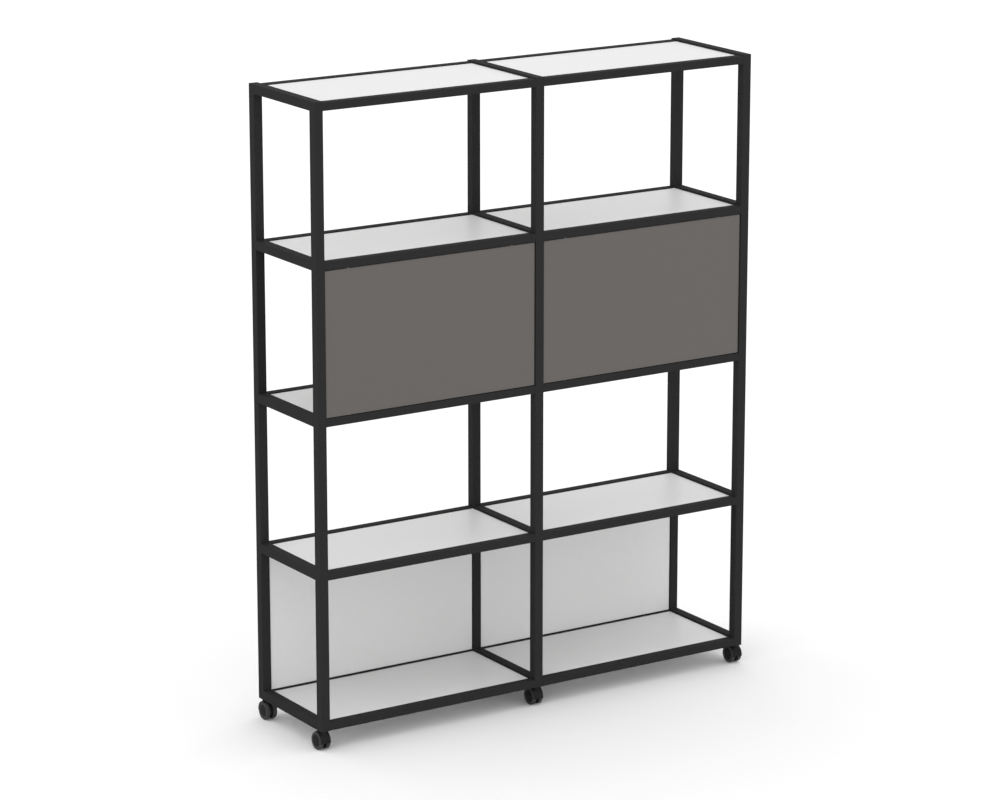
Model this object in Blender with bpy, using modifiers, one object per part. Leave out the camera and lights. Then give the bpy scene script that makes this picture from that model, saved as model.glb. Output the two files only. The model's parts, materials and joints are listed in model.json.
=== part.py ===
"""Mobile metal shelving unit, modelled in Blender.

Three welded ladder frames of square steel tube carry two bays of front and back
rails on five levels. White boards rest on the ledges of the rails. Two taupe
panels close the front of the second row from the top, and two white panels close
the back of the bottom row. Each post stands on a twin-wheel castor.

Metres, +Z up. The front faces -Y, and the origin is on the floor under the middle.
"""
import math

import bmesh
import bpy
from mathutils import Matrix, Vector

# Driving dimensions of the unit
FRAME_WIDTH = 1.360
FRAME_DEPTH = 0.337
FRAME_HEIGHT = 1.673
TUBE = 0.025
LEVEL_COUNT = 5

# Names of the repeated places, from the left and from the front
BAY_NAMES = ("left", "right")
SIDE_NAMES = ("left", "middle", "right")
ROW_NAMES = ("front", "back")

# Fits
FIT = 0.0003
RUNNING_FIT = 0.0005
OVERRUN = 0.010
WELD_DISTANCE = 0.000002

# Welded side frames
TUBE_WALL = 0.0015
TUBE_EDGE_RADIUS = 0.002
FOOT_STEP = 0.0005

# Spigots that the rail ends slide over
SPIGOT_LENGTH = 0.024
SPIGOT_CLEARANCE = 0.0008
SPIGOT_WELD = 0.001

# Castor insert in the foot of each post, with its stem
INSERT_HEIGHT = 0.020
INSERT_RECESS = 0.001
INSERT_RIB = 0.002
INSERT_WELD = 0.0007
CORE_RADIUS = 0.007
CORE_RISE = 0.018
THRUST_DROP = 0.0008
STEM_RADIUS = 0.003
STEM_REACH = 0.018

# Front and back rails, with the ledge under the shelves
RAIL_WALL = 0.0015
RAIL_EDGE_RADIUS = 0.002
LEDGE_RISE = 0.0052
LEDGE_THICKNESS = 0.002
LEDGE_BEARING = 0.010

# Shelves
SHELF_THICKNESS = 0.012
SHELF_RECESS = 0.0025
SHELF_END_GAP = 0.002
SHELF_RAIL_GAP = 0.002
SHELF_EDGE = 0.0008

# Infill panels and their shouldered dowels
PANEL_THICKNESS = 0.012
PANEL_RECESS = 0.003
PANEL_SIDE_GAP = 0.002
PANEL_END_GAP = 0.0015
PANEL_EDGE = 0.0008
DOWEL_RADIUS = 0.0025
DOWEL_INSET = 0.070
DOWEL_REACH = 0.0065
DOWEL_ROOT = 0.010
SHOULDER_RADIUS = 0.0042
SHOULDER_ROOT = 0.001

# Castor wheels
WHEEL_RADIUS = 0.024
WHEEL_WIDTH = 0.011
WHEEL_SPACING = 0.010
WHEEL_SHOULDER = 0.0014
WHEEL_RIM = 0.0036
WHEEL_FACE_BEVEL = 0.0012
WHEEL_DISH = 0.0012
HUB_END = 0.0025
AXLE_RADIUS = 0.0025

# Castor housings
TRAIL = 0.014
HOOD_CLEARANCE = 0.0008
HOOD_WALL = 0.0014
HOOD_SIDE_STEP = 0.001
HOOD_HEADROOM = 0.0033
HOOD_FRONT_ANGLE = math.radians(-16)
HOOD_REAR_ANGLE = math.radians(104)
HOOD_LIP_RADIUS = 0.0225
WEB_REAR_RADIUS = 0.016
WEB_REAR_ANGLE = math.radians(205)
AXLE_BOSS_RADIUS = 0.0065
AXLE_BOSS_ANGLE = math.radians(315)
STEM_BOSS_RADIUS = 0.008
STEM_BORE_SPARE = 0.0015
STEM_BORE_FLOOR = 0.001

# Facets of the round shapes
WHEEL_STEPS = 20
POCKET_STEPS = 24
STEM_STEPS = 12
DOWEL_STEPS = 8
HOOD_STEPS = 10
WEB_STEPS = 6
EDGE_STEPS = 2
SHARP_ANGLE = math.radians(35)

# Colours (linear), roughness and metallic value of each finish
FINISHES = {
    "frame_black": ((0.030, 0.030, 0.031), 0.42, 0.0),
    "board_white": ((0.830, 0.830, 0.825), 0.45, 0.0),
    "panel_taupe": ((0.152, 0.139, 0.130), 0.50, 0.0),
    "castor_black": ((0.018, 0.018, 0.019), 0.40, 0.0),
    "tread_black": ((0.026, 0.026, 0.027), 0.55, 0.0),
}

# Sizes that follow from the ones above
HOOD_INNER_RADIUS = WHEEL_RADIUS + HOOD_CLEARANCE
HOOD_OUTER_RADIUS = HOOD_INNER_RADIUS + HOOD_WALL
HOOD_WIDTH = WHEEL_SPACING + 2 * (WHEEL_WIDTH - HOOD_SIDE_STEP)
CASTOR_HEIGHT = WHEEL_RADIUS + HOOD_OUTER_RADIUS + HOOD_HEADROOM
LEDGE_TOP = LEDGE_RISE + LEDGE_THICKNESS
LEDGE_REACH = SHELF_RAIL_GAP + LEDGE_BEARING
RAIL_HEIGHT = LEDGE_TOP + FIT + SHELF_THICKNESS + SHELF_RECESS
BAY_CLEAR_WIDTH = (FRAME_WIDTH - len(SIDE_NAMES) * TUBE) / len(BAY_NAMES)
BAY_PITCH = BAY_CLEAR_WIDTH + TUBE
LEVEL_PITCH = (FRAME_HEIGHT - TUBE) / (LEVEL_COUNT - 1)
FRAME_TOP = CASTOR_HEIGHT + FOOT_STEP + FRAME_HEIGHT
POST_OFFSET = (FRAME_DEPTH - TUBE) / 2
RAIL_LENGTH = BAY_CLEAR_WIDTH - 2 * FIT
SHELF_LENGTH = BAY_CLEAR_WIDTH - 2 * SHELF_END_GAP
SHELF_DEPTH = FRAME_DEPTH - 2 * (TUBE + SHELF_RAIL_GAP)
PANEL_WIDTH = BAY_CLEAR_WIDTH - 2 * PANEL_SIDE_GAP
PANEL_HEIGHT = LEVEL_PITCH - RAIL_HEIGHT - 2 * PANEL_END_GAP
PANEL_SHIFT = PANEL_RECESS + (PANEL_THICKNESS - TUBE) / 2
WEB_THICKNESS = WHEEL_SPACING - 2 * RUNNING_FIT
THRUST_FACE = CASTOR_HEIGHT - THRUST_DROP
HOUSING_TOP = THRUST_FACE - FIT
HUB_DEPTH = WHEEL_WIDTH - HUB_END
AXLE_LENGTH = WHEEL_SPACING + 2 * (HUB_DEPTH - FIT)
FULL_TURN = 2 * math.pi


def level_base(level):
    """Height of the underside of a level's rails and rungs; level 1 is the lowest."""
    return CASTOR_HEIGHT + FOOT_STEP + LEVEL_PITCH * (level - 1)


def side_x(side):
    """X of a side frame's middle plane."""
    return (SIDE_NAMES.index(side) - (len(SIDE_NAMES) - 1) / 2) * BAY_PITCH


def bay_x(bay):
    """X of a bay's middle plane."""
    return (BAY_NAMES.index(bay) - (len(BAY_NAMES) - 1) / 2) * BAY_PITCH


def row_sign(row):
    """-1 for the front row of posts and rails, 1 for the back row."""
    return -1 if row == "front" else 1


def clear_scene():
    """Empties the scene of the objects it starts with."""
    for item in list(bpy.data.objects):
        bpy.data.objects.remove(item, do_unlink=True)


def make_collection(name):
    """Makes a collection in the scene."""
    collection = bpy.data.collections.new(name)
    bpy.context.scene.collection.children.link(collection)
    return collection


def make_materials():
    """Makes one Principled material for each finish."""
    made = {}
    for name, (colour, roughness, metallic) in FINISHES.items():
        material = bpy.data.materials.new(name)
        material.use_nodes = True
        shader = material.node_tree.nodes["Principled BSDF"]
        shader.inputs["Base Color"].default_value = (*colour, 1)
        shader.inputs["Roughness"].default_value = roughness
        shader.inputs["Metallic"].default_value = metallic
        material.diffuse_color = (*colour, 1)
        made[name] = material
    return made


def place(mesh, name, collection, material=None, matrix=None, parent=None):
    """Puts a mesh in the scene as an object with one material."""
    item = bpy.data.objects.new(name, mesh)
    collection.objects.link(item)
    if material and not mesh.materials:
        mesh.materials.append(material)
    item.matrix_world = matrix or Matrix()
    if parent:
        item.parent = parent
        item.matrix_parent_inverse = parent.matrix_world.inverted()
    if collection is CUTTERS:
        item.hide_render = True
        item.display_type = "WIRE"
    return item


def place_empty(name, location):
    """Puts an empty on a joint's axis."""
    empty = bpy.data.objects.new(name, None)
    PARTS.objects.link(empty)
    empty.matrix_world = Matrix.Translation(location)
    return empty


def baked_mesh(item, name):
    """Returns an object's evaluated mesh, welded, and removes the object."""
    bpy.context.view_layer.update()
    graph = bpy.context.evaluated_depsgraph_get()
    mesh = bpy.data.meshes.new_from_object(item.evaluated_get(graph))
    mesh.name = name
    bm = bmesh.new()
    bm.from_mesh(mesh)
    bmesh.ops.remove_doubles(bm, verts=bm.verts, dist=WELD_DISTANCE)
    bm.to_mesh(mesh)
    bm.free()
    mesh.shade_flat()
    mesh.transform(item.matrix_world)
    bpy.data.objects.remove(item, do_unlink=True)
    return mesh


def extruded_outline(name, loops, thickness, edge_radius=0):
    """Flat outline in X and Y with holes, extruded about Z, edges rounded inwards."""
    curve = bpy.data.curves.new(name, "CURVE")
    curve.dimensions = "2D"
    curve.fill_mode = "BOTH"
    curve.extrude = thickness / 2 - edge_radius
    curve.bevel_depth = edge_radius
    curve.bevel_resolution = EDGE_STEPS - 1
    curve.offset = -edge_radius
    for loop in loops:
        spline = curve.splines.new("POLY")
        spline.points.add(len(loop) - 1)
        for point, (x, y) in zip(spline.points, loop):
            point.co = (x, y, 0, 1)
        spline.use_cyclic_u = True
    item = bpy.data.objects.new(name, curve)
    CUTTERS.objects.link(item)
    return baked_mesh(item, name)


def turned_mesh(name, profile, steps, twist=0):
    """Solid turned about Z from a profile of radii and heights, top to bottom."""
    mesh = bpy.data.meshes.new(name)
    bm = bmesh.new()
    corners = [bm.verts.new((radius, 0, height)) for radius, height in profile]
    for upper, lower in zip(corners, corners[1:]):
        bm.edges.new((upper, lower))
    bm.to_mesh(mesh)
    bm.free()
    item = place(mesh, name, CUTTERS, matrix=Matrix.Rotation(twist, 4, "Z"))
    screw = item.modifiers.new("turn", "SCREW")
    screw.steps = steps
    screw.render_steps = steps
    screw.angle = FULL_TURN
    screw.use_merge_vertices = True
    screw.merge_threshold = WELD_DISTANCE
    screw.use_smooth_shade = False
    return baked_mesh(item, name)


def add_box(bm, low, high):
    """Adds a box between two corners to a bmesh."""
    size = Vector(high) - Vector(low)
    centre = (Vector(high) + Vector(low)) / 2
    matrix = Matrix.Translation(centre) @ Matrix.Diagonal((*size, 1))
    bmesh.ops.create_cube(bm, size=1, matrix=matrix)


def box_mesh(name, boxes):
    """Mesh of separate boxes, each given by its low and high corners."""
    bm = bmesh.new()
    for low, high in boxes:
        add_box(bm, low, high)
    mesh = bpy.data.meshes.new(name)
    bm.to_mesh(mesh)
    bm.free()
    return mesh


def copies_mesh(name, mesh, matrices):
    """One mesh of several placed copies of another."""
    bm = bmesh.new()
    for matrix in matrices:
        copy = mesh.copy()
        copy.transform(matrix)
        bm.from_mesh(copy)
    merged = bpy.data.meshes.new(name)
    bm.to_mesh(merged)
    bm.free()
    return merged


def boolean(item, tool, operation):
    """Cuts or joins a tool with an exact Boolean that stays on the object."""
    modifier = item.modifiers.new(tool.name, "BOOLEAN")
    modifier.operation = operation
    modifier.solver = "EXACT"
    modifier.object = tool
    return modifier


def bevel(item, width, steps):
    """Rounds the edges of a plain solid."""
    modifier = item.modifiers.new("edges", "BEVEL")
    modifier.width = width
    modifier.segments = steps
    modifier.limit_method = "ANGLE"
    return modifier


def smooth(mesh):
    """Shades a round piece smooth and keeps its corners sharp."""
    mesh.shade_smooth()
    mesh.set_sharp_from_angle(angle=SHARP_ANGLE)


def arc(radius, start, end, steps, centre=(0, 0)):
    """Points of an arc in the plane, both ends included."""
    turns = [start + (end - start) * step / steps for step in range(steps + 1)]
    return [(centre[0] + radius * math.cos(a), centre[1] + radius * math.sin(a)) for a in turns]


def rectangle(low, high):
    """Outline of a rectangle."""
    return [(low[0], low[1]), (high[0], low[1]), (high[0], high[1]), (low[0], high[1])]


def stand_along_x(mesh):
    """Turns a shape drawn in X and Y so that it is drawn in Y and Z and extruded along X."""
    mesh.transform(Matrix(((0, 0, 1, 0), (1, 0, 0, 0), (0, 1, 0, 0), (0, 0, 0, 1))))
    return mesh


def ladder_outlines(inset):
    """Outline and windows of a ladder frame, inset into its tubes, feet overlong."""
    outer = FRAME_DEPTH / 2 - inset
    inner = FRAME_DEPTH / 2 - TUBE + inset
    foot = CASTOR_HEIGHT - OVERRUN - inset
    floor = level_base(1) + inset
    roof = FRAME_TOP - inset
    outline = [(-outer, foot), (-inner, foot), (-inner, floor), (inner, floor),
               (inner, foot), (outer, foot), (outer, roof), (-outer, roof)]
    windows = []
    for level in range(1, LEVEL_COUNT):
        low = (-inner, level_base(level) + TUBE - inset)
        high = (inner, level_base(level + 1) + inset)
        windows.append(rectangle(low, high))
    return [outline, *windows]


def side_frame_mesh():
    """Outer skin of a ladder frame, its tube edges rounded."""
    skin = extruded_outline("side_frame_skin", ladder_outlines(0), TUBE, TUBE_EDGE_RADIUS)
    return stand_along_x(skin)


def side_frame_bore_mesh():
    """The joined bores of a ladder frame's tubes."""
    bore = extruded_outline("side_frame_bore", ladder_outlines(TUBE_WALL), TUBE - 2 * TUBE_WALL)
    return stand_along_x(bore)


def foot_trim_mesh():
    """Block that cuts both feet of a ladder frame off square."""
    reach = FRAME_DEPTH / 2 + OVERRUN
    return box_mesh("foot_trim", [((-TUBE, -reach, 0), (TUBE, reach, CASTOR_HEIGHT))])


def spigot_boxes(side):
    """Spigots on the faces of a side frame's posts that meet rails."""
    half_depth = TUBE / 2 - RAIL_WALL - SPIGOT_CLEARANCE
    rise = RAIL_WALL + SPIGOT_CLEARANCE
    directions = [turn for turn in (-1, 1) if abs(side_x(side) + turn * BAY_PITCH) <= BAY_PITCH]
    boxes = []
    for level in range(1, LEVEL_COUNT + 1):
        base = level_base(level)
        for row in ROW_NAMES:
            middle = row_sign(row) * POST_OFFSET
            for turn in directions:
                ends = sorted((turn * (TUBE / 2 - SPIGOT_WELD), turn * (TUBE / 2 + SPIGOT_LENGTH)))
                low = (ends[0], middle - half_depth, base + rise)
                high = (ends[1], middle + half_depth, base + RAIL_HEIGHT - rise)
                boxes.append((low, high))
    return boxes


def insert_rib_boxes():
    """Ribs that hold the core of a castor insert in the open foot of each post."""
    root = STEM_RADIUS
    reach = TUBE / 2 - TUBE_WALL + INSERT_WELD
    half = INSERT_RIB / 2
    foot = CASTOR_HEIGHT + INSERT_RECESS
    boxes = []
    for row in ROW_NAMES:
        middle = row_sign(row) * POST_OFFSET
        for start, end in ((-reach, -root), (root, reach)):
            boxes.append(((start, middle - half, foot), (end, middle + half, foot + INSERT_HEIGHT)))
            boxes.append(((-half, middle + start, foot), (half, middle + end, foot + INSERT_HEIGHT)))
    return boxes


def stem_mesh():
    """Turned core, thrust face and stem that a castor swivels on."""
    core_top = CASTOR_HEIGHT + CORE_RISE
    stem_foot = THRUST_FACE - STEM_REACH
    profile = [(0, core_top), (CORE_RADIUS, core_top), (CORE_RADIUS, THRUST_FACE),
               (STEM_RADIUS, THRUST_FACE), (STEM_RADIUS, stem_foot), (0, stem_foot)]
    return turned_mesh("castor_stem", profile, STEM_STEPS)


def make_side_frames():
    """Three welded ladder frames with their spigots, castor inserts and stems."""
    skin = side_frame_mesh()
    bore = side_frame_bore_mesh()
    trim = foot_trim_mesh()
    feet = [Matrix.Translation((0, row_sign(row) * POST_OFFSET, 0)) for row in ROW_NAMES]
    stems = copies_mesh("castor_stems", stem_mesh(), feet)
    for side in SIDE_NAMES:
        shift = Matrix.Translation((side_x(side), 0, 0))
        frame = place(skin.copy(), "side_frame_" + side, PARTS, MATERIALS["frame_black"], shift)
        boolean(frame, place(trim, "foot_trim_" + side, CUTTERS, matrix=shift), "DIFFERENCE")
        boolean(frame, place(bore, "bore_" + side, CUTTERS, matrix=shift), "DIFFERENCE")
        blocks = box_mesh("blocks_" + side, spigot_boxes(side) + insert_rib_boxes())
        boolean(frame, place(blocks, "blocks_" + side, CUTTERS, matrix=shift), "UNION")
        boolean(frame, place(stems, "castor_stems_" + side, CUTTERS, matrix=shift), "UNION")


def rail_mesh():
    """Hollow rail with the ledge for the shelves on its inner side, at +Y."""
    half = TUBE / 2
    tip = half + LEDGE_REACH
    ledge_foot = LEDGE_TOP - LEDGE_THICKNESS
    corner = RAIL_EDGE_RADIUS
    quarter = math.pi / 2
    outline = arc(corner, 2 * quarter, 3 * quarter, EDGE_STEPS, (corner - half, corner))
    outline += arc(corner, 3 * quarter, 4 * quarter, EDGE_STEPS, (half - corner, corner))
    outline += [(half, ledge_foot), (tip, ledge_foot), (tip, LEDGE_TOP), (half, LEDGE_TOP)]
    outline += arc(corner, 0, quarter, EDGE_STEPS, (half - corner, RAIL_HEIGHT - corner))
    outline += arc(corner, quarter, 2 * quarter, EDGE_STEPS, (corner - half, RAIL_HEIGHT - corner))
    hollow = rectangle((RAIL_WALL - half, RAIL_WALL), (half - RAIL_WALL, RAIL_HEIGHT - RAIL_WALL))
    return stand_along_x(extruded_outline("rail", [outline, hollow], RAIL_LENGTH))


def dowel_places():
    """X of a panel's dowels from its middle."""
    reach = PANEL_WIDTH / 2 - DOWEL_INSET
    return (-reach, reach)


def dowel_drill_mesh():
    """Drills along Z through a rail wall at Z = 0, for a panel's two dowels."""
    radius = DOWEL_RADIUS + FIT
    reach = 2 * RAIL_WALL
    drill = turned_mesh("drill", [(0, reach), (radius, reach), (radius, -reach), (0, -reach)],
                        DOWEL_STEPS)
    return copies_mesh("drills", drill, [Matrix.Translation((x, 0, 0)) for x in dowel_places()])


def panel_rows():
    """Panels of the unit: row of the frame, level of the rail below, finish."""
    return {"front": (LEVEL_COUNT - 2, "panel_taupe"), "back": (1, "board_white")}


def make_rails():
    """Twenty rails between the side frames, drilled where a panel's dowels enter."""
    profile = rail_mesh()
    drills = dowel_drill_mesh()
    for row in ROW_NAMES:
        turn = Matrix.Rotation(0 if row == "front" else math.pi, 4, "Z")
        below, _ = panel_rows()[row]
        y = row_sign(row) * POST_OFFSET
        drill_y = y + PANEL_SHIFT
        for bay in BAY_NAMES:
            for level in range(1, LEVEL_COUNT + 1):
                base = level_base(level)
                shift = Matrix.Translation((bay_x(bay), y, base))
                name = "rail_%s_%s_level_%d" % (row, bay, level)
                rail = place(profile.copy(), name, PARTS, MATERIALS["frame_black"], shift @ turn)
                if level in (below, below + 1):
                    wall = RAIL_HEIGHT if level == below else 0
                    seat = Matrix.Translation((bay_x(bay), drill_y, base + wall))
                    cutter = place(drills, "drills_" + name, CUTTERS, matrix=seat)
                    boolean(rail, cutter, "DIFFERENCE")


def make_shelves():
    """Ten boards that lie on the ledges, a little below the tops of the rails."""
    for bay in BAY_NAMES:
        for level in range(1, LEVEL_COUNT + 1):
            foot = level_base(level) + LEDGE_TOP + FIT
            mesh = box_mesh("shelf", [((-SHELF_LENGTH / 2, -SHELF_DEPTH / 2, 0),
                                       (SHELF_LENGTH / 2, SHELF_DEPTH / 2, SHELF_THICKNESS))])
            shelf = place(mesh, "shelf_%s_level_%d" % (bay, level), PARTS,
                          MATERIALS["board_white"], Matrix.Translation((bay_x(bay), 0, foot)))
            bevel(shelf, SHELF_EDGE, 1)


def dowel_mesh():
    """Shouldered dowel that points down from a panel's lower edge."""
    shoulder_foot = FIT - PANEL_END_GAP
    profile = [(0, DOWEL_ROOT), (DOWEL_RADIUS, DOWEL_ROOT), (DOWEL_RADIUS, SHOULDER_ROOT),
               (SHOULDER_RADIUS, SHOULDER_ROOT), (SHOULDER_RADIUS, shoulder_foot),
               (DOWEL_RADIUS, shoulder_foot), (DOWEL_RADIUS, -DOWEL_REACH), (0, -DOWEL_REACH)]
    return turned_mesh("dowel", profile, DOWEL_STEPS)


def make_panels():
    """Infill panels, set back from the front faces of the rails that hold their dowels."""
    half_width = PANEL_WIDTH / 2
    half_thickness = PANEL_THICKNESS / 2
    seats = []
    for x in dowel_places():
        seats.append(Matrix.Translation((x, 0, 0)))
        seats.append(Matrix.Translation((x, 0, PANEL_HEIGHT)) @ Matrix.Rotation(math.pi, 4, "X"))
    dowels = copies_mesh("dowels", dowel_mesh(), seats)
    for row, (below, finish) in panel_rows().items():
        y = row_sign(row) * POST_OFFSET + PANEL_SHIFT
        foot = level_base(below) + RAIL_HEIGHT + PANEL_END_GAP
        for bay in BAY_NAMES:
            mesh = box_mesh("panel", [((-half_width, -half_thickness, 0),
                                       (half_width, half_thickness, PANEL_HEIGHT))])
            shift = Matrix.Translation((bay_x(bay), y, foot))
            name = "panel_%s_%s" % (row, bay)
            panel = place(mesh, name, PARTS, MATERIALS[finish], shift)
            bevel(panel, PANEL_EDGE, 1)
            boolean(panel, place(dowels, "dowels_" + name, CUTTERS, matrix=shift), "UNION")


def wheel_mesh():
    """Castor wheel with a dished face and a blind bore, inner face at X = 0."""
    tread = WHEEL_RADIUS / math.cos(math.pi / WHEEL_STEPS)
    shoulder = tread - WHEEL_SHOULDER
    rim = shoulder - WHEEL_RIM
    face = rim - WHEEL_FACE_BEVEL
    bore = AXLE_RADIUS + FIT
    profile = [(0, WHEEL_WIDTH - WHEEL_DISH), (face, WHEEL_WIDTH - WHEEL_DISH), (rim, WHEEL_WIDTH),
               (shoulder, WHEEL_WIDTH), (tread, WHEEL_WIDTH - WHEEL_SHOULDER),
               (tread, 0), (bore, 0), (bore, HUB_DEPTH), (0, HUB_DEPTH)]
    mesh = turned_mesh("castor_wheel", profile, WHEEL_STEPS, math.pi / WHEEL_STEPS)
    mesh.transform(Matrix.Rotation(math.pi / 2, 4, "Y"))
    smooth(mesh)
    return mesh


def hood_outline():
    """Side view of the housing about the axle: hood in front, web and axle boss behind."""
    lip = (HOOD_LIP_RADIUS * math.cos(HOOD_FRONT_ANGLE), HOOD_LIP_RADIUS * math.sin(HOOD_FRONT_ANGLE))
    outline = arc(HOOD_OUTER_RADIUS, HOOD_FRONT_ANGLE, HOOD_REAR_ANGLE, HOOD_STEPS)
    outline += arc(WEB_REAR_RADIUS, HOOD_REAR_ANGLE, WEB_REAR_ANGLE, WEB_STEPS)
    outline += arc(AXLE_BOSS_RADIUS, WEB_REAR_ANGLE, AXLE_BOSS_ANGLE, WEB_STEPS // 2)
    outline.append(lip)
    return [(-across, up) for across, up in reversed(outline)]


def housing_mesh():
    """Castor housing with its hood, stem boss, stem bore and axle, stem axis on Z."""
    to_axle = Matrix.Translation((0, TRAIL, WHEEL_RADIUS))
    hood = stand_along_x(extruded_outline("hood", [hood_outline()], HOOD_WIDTH))
    hood.transform(to_axle)
    body = place(hood, "hood", CUTTERS)

    bore_foot = THRUST_FACE - STEM_REACH - STEM_BORE_SPARE
    boss_foot = bore_foot - STEM_BORE_FLOOR
    boss_profile = [(0, HOUSING_TOP), (STEM_BOSS_RADIUS, HOUSING_TOP),
                    (STEM_BOSS_RADIUS, boss_foot), (0, boss_foot)]
    boss = place(turned_mesh("stem_boss", boss_profile, STEM_STEPS), "stem_boss", CUTTERS)
    boolean(body, boss, "UNION")

    web = WEB_THICKNESS / 2
    mouth = HOOD_WIDTH / 2 + OVERRUN
    pocket = turned_mesh("pocket", [(0, mouth), (HOOD_INNER_RADIUS, mouth),
                                    (HOOD_INNER_RADIUS, web), (0, web)], POCKET_STEPS)
    sideways = [to_axle @ Matrix.Rotation(turn, 4, "Y") for turn in (math.pi / 2, -math.pi / 2)]
    pockets = place(copies_mesh("wheel_pockets", pocket, sideways), "wheel_pockets", CUTTERS)
    boolean(body, pockets, "DIFFERENCE")

    bore_radius = STEM_RADIUS + FIT
    bore_profile = [(0, HOUSING_TOP + OVERRUN), (bore_radius, HOUSING_TOP + OVERRUN),
                    (bore_radius, bore_foot), (0, bore_foot)]
    bore = place(turned_mesh("stem_bore", bore_profile, STEM_STEPS), "stem_bore", CUTTERS)
    boolean(body, bore, "DIFFERENCE")

    axle_profile = [(0, AXLE_LENGTH / 2), (AXLE_RADIUS, AXLE_LENGTH / 2),
                    (AXLE_RADIUS, -AXLE_LENGTH / 2), (0, -AXLE_LENGTH / 2)]
    axle_mesh = turned_mesh("axle", axle_profile, STEM_STEPS)
    axle_mesh.transform(to_axle @ Matrix.Rotation(math.pi / 2, 4, "Y"))
    axle = place(axle_mesh, "axle", CUTTERS)
    boolean(body, axle, "UNION")

    mesh = baked_mesh(body, "castor_housing")
    smooth(mesh)
    for tool in (boss, pockets, bore, axle):
        bpy.data.objects.remove(tool, do_unlink=True)
    return mesh


def make_castors():
    """Six twin-wheel castors, their wheels trailing towards the middle of the unit."""
    housing = housing_mesh()
    wheel = wheel_mesh()
    for row in ROW_NAMES:
        heading = Matrix.Rotation(0 if row == "front" else math.pi, 4, "Z")
        for side in SIDE_NAMES:
            name = "castor_%s_%s" % (row, side)
            stem = Vector((side_x(side), row_sign(row) * POST_OFFSET, 0))
            swivel = place_empty(name + "_swivel", stem)
            at_stem = Matrix.Translation(stem) @ heading
            body = place(housing, name + "_housing", PARTS, MATERIALS["castor_black"],
                         at_stem, swivel)
            for hand, turn in (("left", math.pi), ("right", 0)):
                at_axle = Matrix.Translation(stem + heading @ Vector((0, TRAIL, WHEEL_RADIUS)))
                face = Matrix.Rotation(turn, 4, "Z") @ Matrix.Translation((WHEEL_SPACING / 2, 0, 0))
                place(wheel, "%s_wheel_%s" % (name, hand), PARTS, MATERIALS["tread_black"],
                      at_axle @ face, body)


clear_scene()
PARTS = make_collection("metal_shelving_unit")
CUTTERS = make_collection("cutters")
MATERIALS = make_materials()
make_side_frames()
make_rails()
make_shelves()
make_panels()
make_castors()
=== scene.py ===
"""Looks of the mobile metal shelving unit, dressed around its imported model.

Welded ladder frames and hollow rails in black powder coat, white and taupe boards,
and twin-wheel castors, on a plain white floor in soft studio light.
"""
import json
import math

import bmesh
import bpy
from bpy.props import FloatProperty, FloatVectorProperty, IntProperty, PointerProperty
from bpy.types import Operator, Panel, PropertyGroup
from mathutils import Matrix, Vector


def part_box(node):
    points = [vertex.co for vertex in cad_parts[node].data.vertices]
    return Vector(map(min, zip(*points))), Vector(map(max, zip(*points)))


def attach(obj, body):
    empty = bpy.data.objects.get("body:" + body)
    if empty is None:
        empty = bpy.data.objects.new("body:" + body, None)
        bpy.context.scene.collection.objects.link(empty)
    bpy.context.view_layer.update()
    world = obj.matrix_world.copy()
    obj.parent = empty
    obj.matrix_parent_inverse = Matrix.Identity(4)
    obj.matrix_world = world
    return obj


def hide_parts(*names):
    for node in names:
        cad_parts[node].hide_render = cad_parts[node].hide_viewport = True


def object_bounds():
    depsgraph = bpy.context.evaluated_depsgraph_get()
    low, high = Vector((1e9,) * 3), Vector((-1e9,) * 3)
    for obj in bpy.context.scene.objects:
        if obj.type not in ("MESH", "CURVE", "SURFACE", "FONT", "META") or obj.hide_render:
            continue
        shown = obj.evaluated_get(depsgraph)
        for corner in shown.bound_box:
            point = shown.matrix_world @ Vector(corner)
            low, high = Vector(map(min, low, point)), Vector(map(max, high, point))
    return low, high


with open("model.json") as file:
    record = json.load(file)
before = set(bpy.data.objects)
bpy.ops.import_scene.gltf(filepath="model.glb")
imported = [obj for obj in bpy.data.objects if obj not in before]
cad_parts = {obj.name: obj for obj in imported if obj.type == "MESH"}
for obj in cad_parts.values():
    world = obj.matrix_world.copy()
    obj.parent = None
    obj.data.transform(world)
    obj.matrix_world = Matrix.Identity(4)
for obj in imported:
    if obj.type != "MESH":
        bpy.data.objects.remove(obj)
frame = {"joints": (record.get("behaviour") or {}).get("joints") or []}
CAD_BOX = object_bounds()

bl_info = {
    "name": "Mobile metal shelving unit",
    "version": (1, 0, 0),
    "blender": (4, 5, 0),
    "location": "3D View > Sidebar > Shelving",
    "description": "Dresses the packed shelving unit with detailed pieces and finishes",
    "category": "Object",
}

SIDES = ("left", "middle", "right")
BAYS = ("left", "right")
ROWS = ("front", "back")
LEVELS = (1, 2, 3, 4, 5)
HANDS = ("left", "right")
JOINTS = {joint["name"]: joint for joint in frame["joints"]}

ROUNDING_MIDDLE = "edge_wear"  # name of the mask of rounded edges that each mesh carries; the powder coat is painted paler there, partly as rubbed paint and partly as a painted highlight
MERGE = 1e-6  # metres: points closer than this are one point
GRID_DIGITS = 4  # decimals that tell the lines of a grid apart
FLAT = math.radians(1)  # faces that bend less than this lie in one plane
CORNER = math.radians(50)  # faces that meet at more than this make a corner
MOULDED_CORNER = math.radians(60)  # the same on the castors' housings, inserts and stems
RIM_CORNER = math.radians(35)  # the same on a wheel, whose rim slants down to its face
DOWNWARD = -0.9  # a face looks down when the Z of its normal is less
SHARP = 50  # degrees: edges that bend more stay sharp
SMALL_PIECE = {"smooth": 35, "weighted": False}  # shading of pegs, inserts, stems and housings
WHEEL_PIECE = {"smooth": 40, "weighted": False}  # shading of wheels
FACTOR, FIRST, SECOND, RESULT = 0, 6, 7, 2  # places of a Mix node's colour sockets


def length(name, default, description):
    """A size in metres that a user can change."""
    return FloatProperty(name=name, description=description, default=default, unit="LENGTH",
                         precision=5)


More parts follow.
